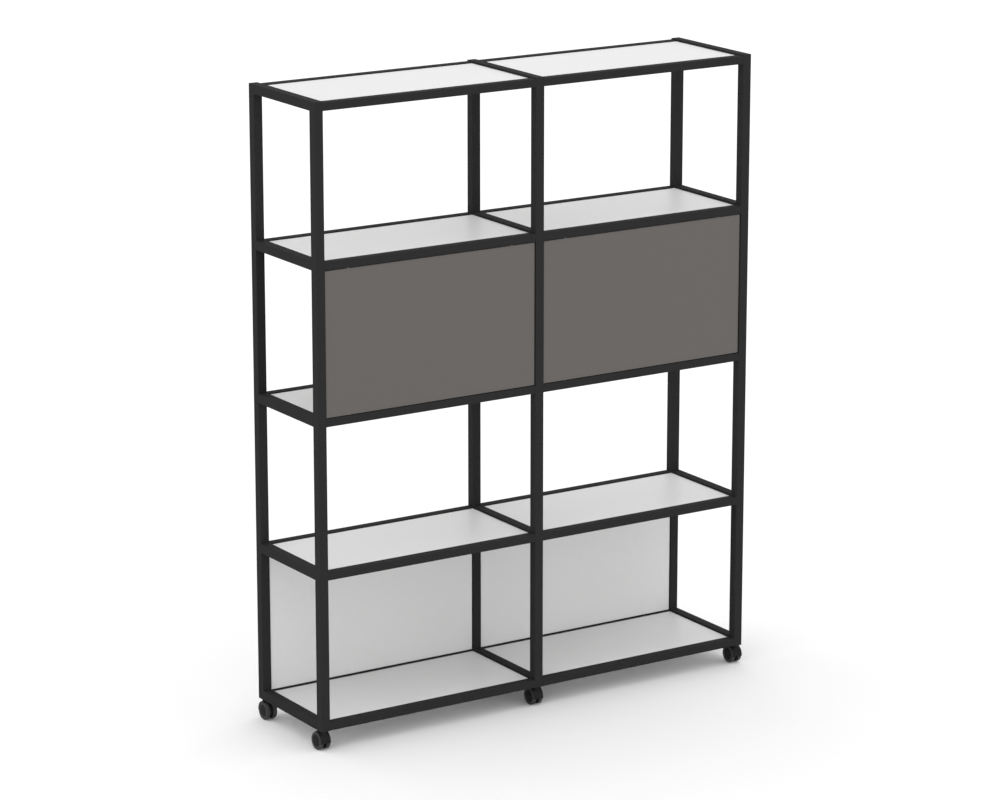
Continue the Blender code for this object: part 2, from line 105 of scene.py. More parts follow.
def angle(name, default, description):
    """An angle that a user can change, given here in degrees."""
    return FloatProperty(name=name, description=description, default=math.radians(default),
                         unit="ROTATION")


def count(name, default, description):
    """A number of facets that a user can change."""
    return IntProperty(name=name, description=description, default=default, min=1)


def colour(name, default, description):
    """A linear colour that a user can change."""
    return FloatVectorProperty(name=name, description=description, default=default,
                               subtype="COLOR", size=3, min=0, max=1)


def share(name, default, description):
    """A share between nothing and all of it."""
    return FloatProperty(name=name, description=description, default=default, min=0, max=1,
                         subtype="FACTOR")


def strength(name, default, description):
    """A strength of light or of a contrast."""
    return FloatProperty(name=name, description=description, default=default, min=0)


def density(name, default, description):
    """A number of features in a metre of a texture."""
    return FloatProperty(name=name, description=description, default=default, min=0)


def lens_size(name, default, description):
    """A size inside the camera, in millimetres."""
    return FloatProperty(name=name, description=description, default=default, min=1)


class TubeLook(PropertyGroup):
    """Sizes and finish of the steel frames and rails"""
    tube: length("Tube", 0.025, "Width of the square tube")
    edge: length("Edge radius", 0.002, "Outer radius of the tube's long edges")
    weld: length("Weld fillet", 0.0016, "Radius of the weld in the windows' corners")
    wall: length("Wall", 0.0015, "Wall of the tube where a foot is open")
    foot_depth: length("Foot depth", 0.022, "How far the open foot of a post can be looked into")
    foot_step: length("Foot step", 0.0005, "How far a post's foot stands below the lowest rung")
    ledge_rise: length("Ledge rise", 0.0052, "Underside of a rail's ledge above the rail's foot")
    ledge_thickness: length("Ledge", 0.002, "Thickness of a rail's ledge")
    ledge_edge: length("Ledge edge", 0.0005, "Radius of the ledge's long edges")
    steps: count("Edge steps", 4, "Facets of a rounded edge")
    ledge_steps: count("Ledge steps", 2, "Facets of a rounded ledge")
    colour: colour("Colour", (0.0298, 0.0298, 0.0300), "Powder coat")
    # paler colour of the rounded edges: partly rubbed paint, partly a painted highlight
    worn_and_highlight: colour("Worn colour", (0.042, 0.042, 0.043), "Powder coat along its edges")
    roughness: share("Roughness", 0.60, "Roughness of the powder coat")
    gloss: share("Gloss", 0.01, "Specular level of the powder coat")
    texture: density("Texture", 1500, "Bumps of the fine texture in a metre")
    clouds: density("Clouds", 9, "Clouds of the sheen in a metre")
    scuffs: density("Scuffs", 160, "Scuffs of the edges in a metre")
    scuff_contrast: strength("Scuff contrast", 1.6, "How clearly the scuffs stand out")
    scuff_least: share("Scuff least", 0.35, "How much of the faintest scuffs is left out")
    speckle: share("Speckle", 0.16, "How far the texture changes the colour")
    speckle_contrast: strength("Speckle contrast", 3, "How clearly the speckle stands out")
    texture_sheen: share("Texture sheen", 0.10, "How far the texture changes the roughness")
    cloud_sheen: share("Cloud sheen", 0.06, "How far the clouds change the roughness")
    worn_sheen: share("Worn sheen", 0.06, "How much smoother the worn edges are")
    relief: length("Relief", 0.0001, "Height of the texture")
    relief_share: share("Relief share", 0.35, "How much of the relief shows")


class BoardLook(PropertyGroup):
    """Sizes and finish of the boards and infill panels"""
    edge: length("Edge radius", 0.0008, "Radius of the boards' edges")
    peg_inset: length("Peg inset", 0.070, "From a panel's side to the middle of a peg")
    shoulder: length("Shoulder radius", 0.0042, "Radius of a peg's shoulder")
    shoulder_rise: length("Shoulder rise", 0.0012, "How far a shoulder stands out of a panel")
    peg: length("Peg radius", 0.0025, "Radius of the pin that goes into a rail")
    peg_reach: length("Peg reach", 0.0065, "How far a pin stands out of a panel")
    peg_edge: length("Peg edge", 0.0003, "Radius of the pegs' edges")
    peg_steps: count("Peg steps", 24, "Facets round a peg")
    peg_edge_steps: count("Peg edge steps", 2, "Facets of a peg's rounded edge")
    steps: count("Edge steps", 3, "Facets of a rounded edge")
    white: colour("White", (0.765, 0.765, 0.763), "White laminate of the boards")
    # a paler copy of the boards' white: painted light that stands in for more light on the back
    # panels
    white_painted_light: colour("Pale white", (0.793, 0.793, 0.791), "White laminate of the back panels")
    taupe: colour("Taupe", (0.1255, 0.1155, 0.1085), "Taupe laminate")
    roughness: share("Roughness", 0.42, "Roughness of the laminate")
    gloss: share("Gloss", 0.30, "Specular level of the laminate")
    pearl: density("Pearl", 2200, "Bumps of the pearl texture in a metre")
    mottle: density("Mottle", 60, "Spots of the mottle in a metre")
    spread: share("Mottle spread", 0.015, "How far the mottle changes the colour")
    pearl_sheen: share("Pearl sheen", 0.10, "How far the pearl texture changes the roughness")
    edge_sheen: share("Edge sheen", 0.06, "How much rougher the rounded edges are")
    relief: length("Relief", 0.00005, "Height of the pearl texture")
    white_relief: share("White relief", 0.25, "How much of the relief shows on white")
    taupe_relief: share("Taupe relief", 0.35, "How much of the relief shows on taupe")


class CastorLook(PropertyGroup):
    """Sizes and finish of the castors"""
    hood: length("Hood radius", 0.0262, "Outer radius of the hood")
    hood_wall: length("Hood wall", 0.0014, "Wall of the hood")
    hood_front: angle("Hood front", -8, "Where the hood's front lip ends")
    hood_rear: angle("Hood rear", 104, "Where the hood ends behind the stem")
    lip: length("Lip radius", 0.0225, "Where the hood's front lip turns in to the web")
    web: length("Web", 0.009, "Thickness of the web between the wheels")
    web_rear: length("Web radius", 0.0215, "Radius of the web behind the axle")
    web_end: angle("Web end", 205, "Where the web's round back ends")
    axle_boss: length("Axle boss", 0.0065, "Radius of the web under the axle")
    boss_end: angle("Axle boss end", 315, "Where the web under the axle ends")
    axle: length("Axle radius", 0.0025, "Radius of the axle")
    axle_reach: length("Axle reach", 0.0132, "Half of the axle's length")
    stem_boss: length("Stem boss", 0.008, "Radius of the boss round the stem")
    boss_depth: length("Boss depth", 0.0202, "Height of the boss round the stem")
    boss_floor: length("Boss floor", 0.001, "Floor under the stem's bore")
    bore: length("Bore radius", 0.0033, "Radius of the stem's bore")
    stem: length("Stem radius", 0.003, "Radius of the stem")
    stem_reach: length("Stem reach", 0.018, "Length of the stem below its insert")
    thrust_gap: length("Thrust gap", 0.0003, "Running gap between insert and housing")
    core: length("Core radius", 0.007, "Radius of the insert's core")
    core_rise: length("Core rise", 0.0188, "Height of the insert's core")
    rib: length("Rib", 0.002, "Thickness of the insert's ribs")
    rib_rise: length("Rib rise", 0.020, "Height of the insert's ribs")
    rib_recess: length("Rib recess", 0.001, "How far the ribs stand back in a post's foot")
    wheel: length("Wheel radius", 0.024, "Radius of a wheel")
    wheel_width: length("Wheel width", 0.011, "Width of a wheel")
    rim: length("Rim", 0.0186, "Inner radius of a wheel's rim")
    dish: length("Dish", 0.0018, "How far a wheel's face lies behind its rim")
    cap: length("Cap radius", 0.0052, "Radius of the cap in the middle of a wheel")
    cap_rise: length("Cap rise", 0.0006, "Height of the cap above a wheel's face")
    hub: length("Hub radius", 0.0068, "Radius of the hub on a wheel's inner side")
    hollow: length("Hollow", 0.0022, "Depth of the hollow on a wheel's inner side")
    wheel_bore: length("Wheel bore", 0.0028, "Radius of a wheel's blind bore")
    bore_depth: length("Bore depth", 0.0085, "Depth of a wheel's blind bore")
    tread_edge: length("Tread edge", 0.0020, "Radius of a tread's edges")
    edge: length("Edge radius", 0.0004, "Radius of the mouldings' edges")
    steps: count("Turn steps", 72, "Facets round a wheel")
    pin_steps: count("Pin steps", 32, "Facets round a pin or a bore")
    boss_steps: count("Boss steps", 64, "Facets round the stem's boss")
    hood_steps: count("Hood steps", 40, "Facets along the hood")
    web_steps: count("Web steps", 20, "Facets along the web's round back")
    axle_boss_steps: count("Axle boss steps", 12, "Facets of the web under the axle")
    tread_steps: count("Tread steps", 4, "Facets of a tread's rounded edge")
    edge_steps: count("Edge steps", 2, "Facets of a moulding's rounded edge")
    colour: colour("Housing", (0.0200, 0.0200, 0.0205), "Housings and wheel centres")
    tyre: colour("Tread", (0.064, 0.064, 0.065), "Treads and rims")
    roughness: share("Roughness", 0.50, "Roughness of the housings and wheel centres")
    tyre_roughness: share("Tread roughness", 0.60, "Roughness of the treads and rims")
    gloss: share("Gloss", 0.03, "Specular level of the mouldings")
    spark: density("Spark", 2600, "Bumps of the spark texture in a metre")
    clouds: density("Clouds", 70, "Clouds of the mouldings' colour in a metre")
    spread: share("Cloud spread", 0.18, "How far clouds and texture change the colour")
    spark_sheen: share("Spark sheen", 0.12, "How far the texture changes the roughness")
    relief: length("Relief", 0.00006, "Height of the spark texture")
    housing_relief: share("Housing relief", 0.30, "How much of the relief shows on housings")
    tyre_relief: share("Tread relief", 0.40, "How much of the relief shows on treads")
    zinc: colour("Zinc", (0.55, 0.56, 0.57), "Zinc-plated pins")
    zinc_roughness: share("Zinc roughness", 0.38, "Roughness of the zinc")
    marks: density("Turning marks", 900, "Turning marks across a pin in a metre")
    marks_along: strength("Marks along", 6, "How much closer the marks lie along a pin")
    marks_spread: share("Marks spread", 0.10, "How far the marks change the colour")
    marks_sheen: share("Marks sheen", 0.20, "How far the marks change the roughness")
    marks_relief: length("Marks relief", 0.00003, "Height of the turning marks")
    marks_share: share("Marks share", 0.40, "How much of their relief shows")


class StageLook(PropertyGroup):
    """Floor, light and camera"""
    floor: length("Floor", 40.0, "Side of the square floor")
    floor_colour: colour("Floor colour", (0.85, 0.85, 0.85), "Floor as the light sees it")
    floor_roughness: share("Floor roughness", 0.9, "Roughness of the floor")
    paper: colour("Paper", (1.0, 1.0, 1.0), "Floor as the camera and reflections see it")
    sky: strength("Sky", 1.03, "Strength of the even light")
    top_light: strength("Top light", 0.25, "Strength of the wide light above")
    top_spread: angle("Top light spread", 100, "Angle that the wide light above fills")
    focal: lens_size("Focal length", 138.06, "Focal length of the camera")
    sensor: lens_size("Sensor", 36, "Width of the camera's sensor")
    reach: length("Reach", 200, "How far the camera sees")
    place: FloatVectorProperty(name="Place", description="Where the camera stands", size=3,
                               default=(-5.4282, -8.4154, 3.4329), subtype="TRANSLATION")
    tilt: angle("Tilt", 75.388, "Angle of the camera's view from straight down")
    turn: angle("Turn", -32.743, "Turn of the camera's view to the left")


def look(kind):
    """The settings of one kind of piece."""
    return getattr(bpy.context.scene, "shelving_" + kind)


# Shader maths


class Value:
    """A socket of a node tree that Python's operators work on."""

    def __init__(self, tree, socket):
        self.tree = tree
        self.socket = socket

    def math(self, operation, first, second, clamp=False):
        """A Math node on two numbers or sockets."""
        node = self.tree.nodes.new("ShaderNodeMath")
        node.operation = operation
        node.use_clamp = clamp
        for slot, value in zip(node.inputs, (first, second)):
            feed(self.tree, slot, value)
        return Value(self.tree, node.outputs[0])

    def __add__(self, other):
        return self.math("ADD", self, other)

    def __radd__(self, other):
        return self.math("ADD", other, self)

    def __sub__(self, other):
        return self.math("SUBTRACT", self, other)

    def __rsub__(self, other):
        return self.math("SUBTRACT", other, self)

    def __mul__(self, other):
        return self.math("MULTIPLY", self, other)

    def __rmul__(self, other):
        return self.math("MULTIPLY", other, self)

    def clamped(self):
        """The same number held between 0 and 1."""
        return self.math("ADD", self, 0.0, clamp=True)


def feed(tree, slot, value):
    """Links a socket or sets a plain value on an input."""
    if isinstance(value, Value):
        tree.links.new(value.socket, slot)
    elif isinstance(value, (int, float)):
        slot.default_value = value
    else:
        slot.default_value = (*value, 1.0)[:len(slot.default_value)]


class Nodes:
    """A node tree that is put together from Python."""

    def __init__(self, tree):
        self.tree = tree

    def node(self, kind, settings=None, inputs=None, output=0):
        """Any node: its settings first, then its inputs, and one of its outputs."""
        node = self.tree.nodes.new(kind)
        for name, value in (settings or {}).items():
            setattr(node, name, value)
        for name, value in (inputs or {}).items():
            feed(self.tree, node.inputs[name], value)
        return Value(self.tree, node.outputs[output]) if node.outputs else None

    def mix(self, factor, first, second):
        """A colour between two colours."""
        return self.node("ShaderNodeMix", {"data_type": "RGBA"},
                         {FACTOR: factor, FIRST: first, SECOND: second}, output=RESULT)

    def seen(self):
        """1 for rays of the camera, of reflections and of glass, and 0 for all others."""
        rays = [self.node("ShaderNodeLightPath", output=kind)
                for kind in ("Is Camera Ray", "Is Glossy Ray", "Is Transmission Ray")]
        return (rays[0] + rays[1] + rays[2]).clamped()


class Finish(Nodes):
    """A material that is put together from nodes."""

    def __init__(self, name, **constants):
        self.material = bpy.data.materials.new(name)
        self.material.use_nodes = True
        super().__init__(self.material.node_tree)
        self.shader = self.tree.nodes["Principled BSDF"]
        for slot, value in constants.items():
            self.paint(slot.replace("_", " "), value)

    def paint(self, slot, value):
        """Feeds one of the shader's own inputs."""
        feed(self.tree, self.shader.inputs[slot], value)

    def grain(self, scale, detail=2.0, roughness=0.5, stretch=(1, 1, 1)):
        """Noise whose features are about 1 / scale metres across."""
        place = self.node("ShaderNodeTexCoord", output="Object")
        at = self.node("ShaderNodeMapping", inputs={"Vector": place, "Scale": stretch})
        return self.node("ShaderNodeTexNoise", inputs={"Vector": at, "Scale": scale,
                                                       "Detail": detail, "Roughness": roughness})

    def attribute(self, name):
        """A number that a mesh carries."""
        return self.node("ShaderNodeAttribute", {"attribute_name": name}, output="Fac")

    def bump(self, height, distance, part):
        """Relief of a pattern that runs from 0 to 1, of which a part shows."""
        relief = self.node("ShaderNodeBump", inputs={"Height": height, "Distance": distance,
                                                     "Strength": part})
        self.paint("Normal", relief)


def shades(tint, spread):
    """A deeper and a paler shade of a colour."""
    return [[channel * change for channel in tint] for change in (1 - spread, 1 + spread)]


def speckled(clouds, texture):
    """A number about one half that clouds and a finer texture move up and down."""
    return (clouds + texture * 2 - 1).clamped()


def powder_coat():
    """Fine-textured black powder coat, a little paler and smoother on its edges; the paler edges
    are partly rubbed paint and partly a painted highlight.
    """
    tube = look("tube")
    coat = Finish("powder_coat_black", Specular_IOR_Level=tube.gloss)
    texture = coat.grain(tube.texture)
    clouds = coat.grain(tube.clouds, detail=3.0)
    scuffs = coat.grain(tube.scuffs, detail=4.0, roughness=0.7)
    # the rounded edges' mask broken up by scuffs: partly rubbed paint, partly a painted highlight
    scuffed = scuffs * tube.scuff_contrast - tube.scuff_least
    wear_and_highlight = (coat.attribute(ROUNDING_MIDDLE) * scuffed).clamped()
    speckle = texture * tube.speckle_contrast - (tube.speckle_contrast - 1) / 2
    plain = coat.mix(speckle.clamped(), *shades(tube.colour, tube.speckle))
    # edges painted paler, as rubbed paint and as a painted highlight
    coat.paint("Base Color", coat.mix(wear_and_highlight, plain, tube.worn_and_highlight))
    sheen = texture * tube.texture_sheen + clouds * tube.cloud_sheen - wear_and_highlight * tube.worn_sheen
    middle = (tube.texture_sheen + tube.cloud_sheen) / 2
    coat.paint("Roughness", sheen + (tube.roughness - middle))
    coat.bump(texture, tube.relief, tube.relief_share)


def laminate(name, tint, relief):
    """Pearl-textured laminate with a very faint mottle."""
    boards = look("board")
    skin = Finish(name, Specular_IOR_Level=boards.gloss)
    mottle = skin.grain(boards.mottle, detail=3.0)
    pearl = skin.grain(boards.pearl)
    skin.paint("Base Color", skin.mix(speckled(mottle, pearl), *shades(tint, boards.spread)))
    sheen = pearl * boards.pearl_sheen + skin.attribute(ROUNDING_MIDDLE) * boards.edge_sheen
    skin.paint("Roughness", sheen + (boards.roughness - boards.pearl_sheen / 2))
    skin.bump(pearl, boards.relief, relief)


def moulding(name, tint, roughness, relief):
    """Spark-textured moulded plastic."""
    cast = look("castor")
    plastic = Finish(name, Specular_IOR_Level=cast.gloss)
    spark = plastic.grain(cast.spark)
    clouds = plastic.grain(cast.clouds)
    plastic.paint("Base Color", plastic.mix(speckled(clouds, spark), *shades(tint, cast.spread)))
    plastic.paint("Roughness", spark * cast.spark_sheen + (roughness - cast.spark_sheen / 2))
    plastic.bump(spark, cast.relief, relief)


def zinc_plate():
    """Dull zinc plating with fine turning marks."""
    cast = look("castor")
    metal = Finish("zinc_plate", Metallic=1.0)
    marks = metal.grain(cast.marks, stretch=(1, 1, cast.marks_along))
    metal.paint("Base Color", metal.mix(marks, *shades(cast.zinc, cast.marks_spread)))
    least = cast.zinc_roughness - cast.marks_sheen / 2
    metal.paint("Roughness", marks * cast.marks_sheen + least)
    metal.bump(marks, cast.marks_relief, cast.marks_share)


# Modelling


def new_form():
    """An empty bmesh that can carry a mask of its rounded edges."""
    bm = bmesh.new()
    bm.verts.layers.float.new(ROUNDING_MIDDLE)
    return bm


def bevelled(bm, edges, radius, steps):
    """Rounds edges, and hands back the points and faces that this made."""
    return bmesh.ops.bevel(bm, geom=list(edges), offset=radius, segments=steps, profile=0.5,
                           affect="EDGES", clamp_overlap=True, material=-1)


def rounded(bm, edges, radius, steps):
    """Rounds edges, and marks the middle of each rounding in the mask of rounded edges."""
    made = bevelled(bm, edges, radius, steps)
    layer = bm.verts.layers.float[ROUNDING_MIDDLE]
    fresh = set(made["faces"])
    for vert in made["verts"]:
        if vert.is_valid and all(face in fresh for face in vert.link_faces):
            vert[layer] = 1.0


def corners(bm, least=CORNER):
    """Edges where two faces meet at a clear outside corner."""
    return [edge for edge in bm.edges
            if edge.is_manifold and edge.calc_face_angle_signed() > least]


def inside_corners(bm):
    """Edges where two faces meet at a clear inside corner."""
    return [edge for edge in bm.edges
            if edge.is_manifold and edge.calc_face_angle_signed() < -CORNER]


def box_form(low, high):
    """A box between two corners."""
    bm = new_form()
    size = Vector(high) - Vector(low)
    middle = (Vector(high) + Vector(low)) / 2
    matrix = Matrix.Translation(middle) @ Matrix.Diagonal((*size, 1))
    bmesh.ops.create_cube(bm, size=1, matrix=matrix)
    return bm


def turned(profile, steps, matrix):
    """A closed form turned about Z from radii and heights, its ends on the axis."""
    bm = new_form()
    points = [bm.verts.new((radius, 0, height)) for radius, height in profile]
    edges = [bm.edges.new(pair) for pair in zip(points, points[1:])]
    bmesh.ops.spin(bm, geom=points + edges, cent=(0, 0, 0), axis=(0, 0, 1), dvec=(0, 0, 0),
                   angle=2 * math.pi, steps=steps, use_merge=True)
    bmesh.ops.remove_doubles(bm, verts=bm.verts, dist=MERGE)
    bmesh.ops.recalc_face_normals(bm, faces=bm.faces)
    bmesh.ops.transform(bm, matrix=matrix, verts=bm.verts)
    return bm


def rod(radius, start, end, steps, matrix):
    """A plain round rod about Z between two heights."""
    return turned([(0, start), (radius, start), (radius, end), (0, end)], steps, matrix)


def draw_out(bm, faces, vec):
    """Makes a solid of flat faces by drawing them out along a vector."""
    made = bmesh.ops.extrude_face_region(bm, geom=faces, use_keep_orig=False)
    moved = [item for item in made["geom"] if isinstance(item, bmesh.types.BMVert)]
    bmesh.ops.translate(bm, verts=moved, vec=vec)
    bmesh.ops.recalc_face_normals(bm, faces=bm.faces)


def extruded(outline, low, high, matrix=Matrix()):
    """A plate along X between two places, from an outline in Y and Z."""
    bm = new_form()
    face = bm.faces.new([bm.verts.new((low, y, z)) for y, z in outline])
    draw_out(bm, [face], (high - low, 0, 0))
    bmesh.ops.transform(bm, matrix=matrix, verts=bm.verts)
    return bm


def arc(radius, start, end, steps):
    """Points of an arc in Y and Z, both ends included."""
    turns = [start + (end - start) * step / steps for step in range(steps + 1)]
    return [(radius * math.cos(turn), radius * math.sin(turn)) for turn in turns]


def mesh_of(bm, name):
    """Turns a bmesh into a mesh and frees it."""
    mesh = bpy.data.meshes.new(name)
    bm.to_mesh(mesh)
    bm.free()
    return mesh


def joined(forms):
    """One bmesh that holds several separate forms."""
    bm = new_form()
    for form in forms:
        mesh = mesh_of(form, "form")
        bm.from_mesh(mesh)
        bpy.data.meshes.remove(mesh)
    return bm


def flattened(bm):
    """Makes one face of all that lie side by side in a plane."""
    bmesh.ops.dissolve_limit(bm, angle_limit=FLAT, verts=bm.verts, edges=bm.edges)
    return bm


def ordered(mesh):
    """A form sorted by place, as a boolean hands its mesh over in a changing order."""
    bm = new_form()
    order = sorted(range(len(mesh.vertices)), key=lambda at: tuple(mesh.vertices[at].co))
    rank = {at: place for place, at in enumerate(order)}
    points = [bm.verts.new(mesh.vertices[at].co) for at in order]
    rings = []
    for face in mesh.polygons:
        ring = [rank[at] for at in face.vertices]
        first = ring.index(min(ring))
        rings.append(ring[first:] + ring[:first])
    for ring in sorted(rings):
        bm.faces.new([points[at] for at in ring])
    return bm


def placed(name, data):
    """A new object in the scene."""
    item = bpy.data.objects.new(name, data)
    bpy.context.scene.collection.objects.link(item)
    return item


def combined(form, tool, operation):
    """One form with another joined to it or cut out of it."""
    body = placed("body", mesh_of(flattened(form), "body"))
    helper = placed("helper", mesh_of(flattened(tool), "helper"))
    step = body.modifiers.new("step", "BOOLEAN")
    step.operation = operation
    step.solver = "EXACT"
    step.object = helper
    bpy.context.view_layer.update()
    graph = bpy.context.evaluated_depsgraph_get()
    mesh = bpy.data.meshes.new_from_object(body.evaluated_get(graph))
    for item in (body, helper):
        bpy.data.objects.remove(item, do_unlink=True)
    bm = ordered(mesh)
    bpy.data.meshes.remove(mesh)
    bmesh.ops.remove_doubles(bm, verts=bm.verts, dist=MERGE)
    return flattened(bm)


def carved(form, tools):
    """One solid from a form that others are joined to or cut out of, one after another."""
    for tool, operation in tools:
        form = combined(form, tool, operation)
    return form


def piece(name, bm, materials, body, nodes=(), slot=None, smooth=SHARP, weighted=True):
    """Puts a finished form in the scene, riding on its body."""
    bmesh.ops.recalc_face_normals(bm, faces=bm.faces)
    mesh = mesh_of(bm, name)
    for material in materials:
        mesh.materials.append(bpy.data.materials[material])
    mesh.shade_smooth()
    mesh.set_sharp_from_angle(angle=math.radians(smooth))
    item = placed(name, mesh)
    if weighted:
        normals = item.modifiers.new("normals", "WEIGHTED_NORMAL")
        normals.keep_sharp = True
    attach(item, body)
    if nodes:
        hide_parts(*nodes)


def level_foot(level):
    """Underside of a level's rails."""
    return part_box("rail_front_left_level_%d" % level)[0].z


def post(row, side):
    """Where the middle of a post stands."""
    return Vector(JOINTS["castor_%s_%s_swivel" % (row, side)]["pos_m"])


def grid_form(x, columns, rows):
    """A flat grid across X whose lines stand at these places in Y and Z."""
    bm = new_form()
    bmesh.ops.create_grid(bm, x_segments=len(columns) - 1, y_segments=len(rows) - 1, size=1)
    across = dict(zip(sorted({round(vert.co.x, GRID_DIGITS) for vert in bm.verts}), columns))
    up = dict(zip(sorted({round(vert.co.y, GRID_DIGITS) for vert in bm.verts}), rows))
    for vert in bm.verts:
        vert.co = (x, across[round(vert.co.x, GRID_DIGITS)], up[round(vert.co.y, GRID_DIGITS)])
    return bm


def on_rung(height):
    """Whether a height is that of a rung."""
    return any(level_foot(level) < height < level_foot(level) + look("tube").tube
               for level in LEVELS)


def open_feet(bm, height):
    """Hollows out the faces below a height that look down."""
    tube = look("tube")
    feet = [face for face in bm.faces
            if face.normal.z < DOWNWARD and face.calc_center_median().z < height]
    bmesh.ops.inset_individual(bm, faces=feet, thickness=tube.wall)
    made = bmesh.ops.extrude_discrete_faces(bm, faces=feet)
    for face in made["faces"]:
        bmesh.ops.translate(bm, verts=face.verts, vec=(0, 0, tube.foot_depth))


def ladder(side):
    """A welded ladder frame: rounded tube, welds in the windows' corners, open feet."""
    tube = look("tube")
    half = tube.tube / 2
    front, back = post("front", side), post("back", side)
    columns = [front.y - half, front.y + half, back.y - half, back.y + half]
    rows = [level_foot(1) - tube.foot_step]
    for level in LEVELS:
        rows += [level_foot(level), level_foot(level) + tube.tube]
    bm = grid_form(front.x - half, columns, rows)
    windows = []
    for face in bm.faces:
        middle = face.calc_center_median()
        if columns[1] < middle.y < columns[2] and not on_rung(middle.z):
            windows.append(face)
    bmesh.ops.delete(bm, geom=windows, context="FACES")
    draw_out(bm, bm.faces[:], (tube.tube, 0, 0))
    bevelled(bm, inside_corners(bm), tube.weld, tube.steps)
    foot = rows[0] + tube.foot_step / 2
    long_edges = [edge for edge in corners(bm)
                  if max(vert.co.z for vert in edge.verts) > foot]
    rounded(bm, long_edges, tube.edge, tube.steps)
    open_feet(bm, foot)
    bmesh.ops.dissolve_degenerate(bm, dist=MERGE, edges=bm.edges)
    return bm


def rail(node, inward):
    """A hollow rail seen from outside: rounded tube with a ledge on its inner side."""
    tube = look("tube")
    low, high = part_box(node)
    outer = low.y if inward > 0 else high.y
    inner = outer + inward * tube.tube
    tip = high.y if inward > 0 else low.y
    under = low.z + tube.ledge_rise
    over = under + tube.ledge_thickness
    outline = [(outer, low.z), (inner, low.z), (inner, under), (tip, under), (tip, over),
               (inner, over), (inner, high.z), (outer, high.z)]
    bm = extruded(outline, low.x, high.x)
    tube_edges = []
    ledge_edges = []
    for edge in corners(bm):
        if abs(edge.verts[0].co.x - edge.verts[1].co.x) < tube.tube:
            continue
        on_tip = abs(edge.verts[0].co.y - tip) < tube.wall
        (ledge_edges if on_tip else tube_edges).append(edge)
    rounded(bm, tube_edges, tube.edge, tube.steps)
    remaining = [edge for edge in ledge_edges if edge.is_valid]
    rounded(bm, remaining, tube.ledge_edge, tube.ledge_steps)
    return bm


def board(low, high):
    """A board or panel with softened edges."""
    sizes = look("board")
    bm = box_form(low, high)
    rounded(bm, bm.edges[:], sizes.edge, sizes.steps)
    return bm


def panel_box(row, bay):
    """Corners of an infill panel without its pegs."""
    low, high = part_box("panel_%s_%s" % (row, bay))
    lift = Vector((0, 0, look("board").peg_reach))
    return low + lift, high - lift


def pegs(row, bay):
    """The four shouldered pegs that hold a panel between its rails."""
    sizes = look("board")
    low, high = panel_box(row, bay)
    profile = [(0, -sizes.shoulder_rise), (sizes.shoulder, -sizes.shoulder_rise),
               (sizes.shoulder, sizes.shoulder_rise), (sizes.peg, sizes.shoulder_rise),
               (sizes.peg, sizes.peg_reach), (0, sizes.peg_reach)]
    forms = []
    for x in (low.x + sizes.peg_inset, high.x - sizes.peg_inset):
        for z, turn in ((high.z, 0), (low.z, math.pi)):
            place = Matrix.Translation((x, (low.y + high.y) / 2, z)) @ Matrix.Rotation(turn, 4, "X")
            form = turned(profile, sizes.peg_steps, place)
            rounded(form, corners(form), sizes.peg_edge, sizes.peg_edge_steps)
            forms.append(form)
    return joined(forms)


def wheel(row, side, hand):
    """A castor wheel: a tyre-like rim round a dished face with a small cap."""
    cast = look("castor")
    name = "castor_%s_%s_wheel_%s" % (row, side, hand)
    low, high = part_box(name)
    centre = (low + high) / 2
    outward = 1 if hand == "right" else -1
    inner_face = low.x if outward > 0 else high.x
    seat = (Matrix.Translation((inner_face, centre.y, centre.z))
            @ Matrix.Rotation(outward * math.pi / 2, 4, "Y"))
    face = cast.wheel_width - cast.dish
    inner_rim = cast.rim + cast.tread_edge
    profile = [(0, face + cast.cap_rise), (cast.cap, face + cast.cap_rise), (cast.cap, face),
               (cast.rim - cast.dish, face), (cast.rim, cast.wheel_width),
               (cast.wheel, cast.wheel_width), (cast.wheel, 0), (inner_rim, 0),
               (inner_rim, cast.hollow), (cast.hub, cast.hollow), (cast.hub, 0),
               (cast.wheel_bore, 0), (cast.wheel_bore, cast.bore_depth), (0, cast.bore_depth)]
    bm = turned(profile, cast.steps, seat)
    for item in bm.faces:
        middle = item.calc_center_median()
        radius = math.hypot(middle.y - centre.y, middle.z - centre.z)
        item.material_index = 1 if radius > cast.rim - cast.dish else 0
    tread = [edge for edge in corners(bm) if all(
        math.hypot(vert.co.y - centre.y, vert.co.z - centre.z) > cast.wheel - cast.edge
        for vert in edge.verts)]
    rounded(bm, tread, cast.tread_edge, cast.tread_steps)
    rounded(bm, corners(bm, RIM_CORNER), cast.edge, cast.edge_steps)
    return bm


def housing_outline(lead):
    """Side view of a castor housing about its axle: hood in front, web and boss behind."""
    cast = look("castor")
    outline = arc(cast.hood, cast.hood_front, cast.hood_rear, cast.hood_steps)
    outline += arc(cast.web_rear, cast.hood_rear, cast.web_end, cast.web_steps)
    outline += arc(cast.axle_boss, cast.web_end, cast.boss_end, cast.axle_boss_steps)
    outline.append((cast.lip * math.cos(cast.hood_front), cast.lip * math.sin(cast.hood_front)))
    return [(y * lead, z) for y, z in outline]


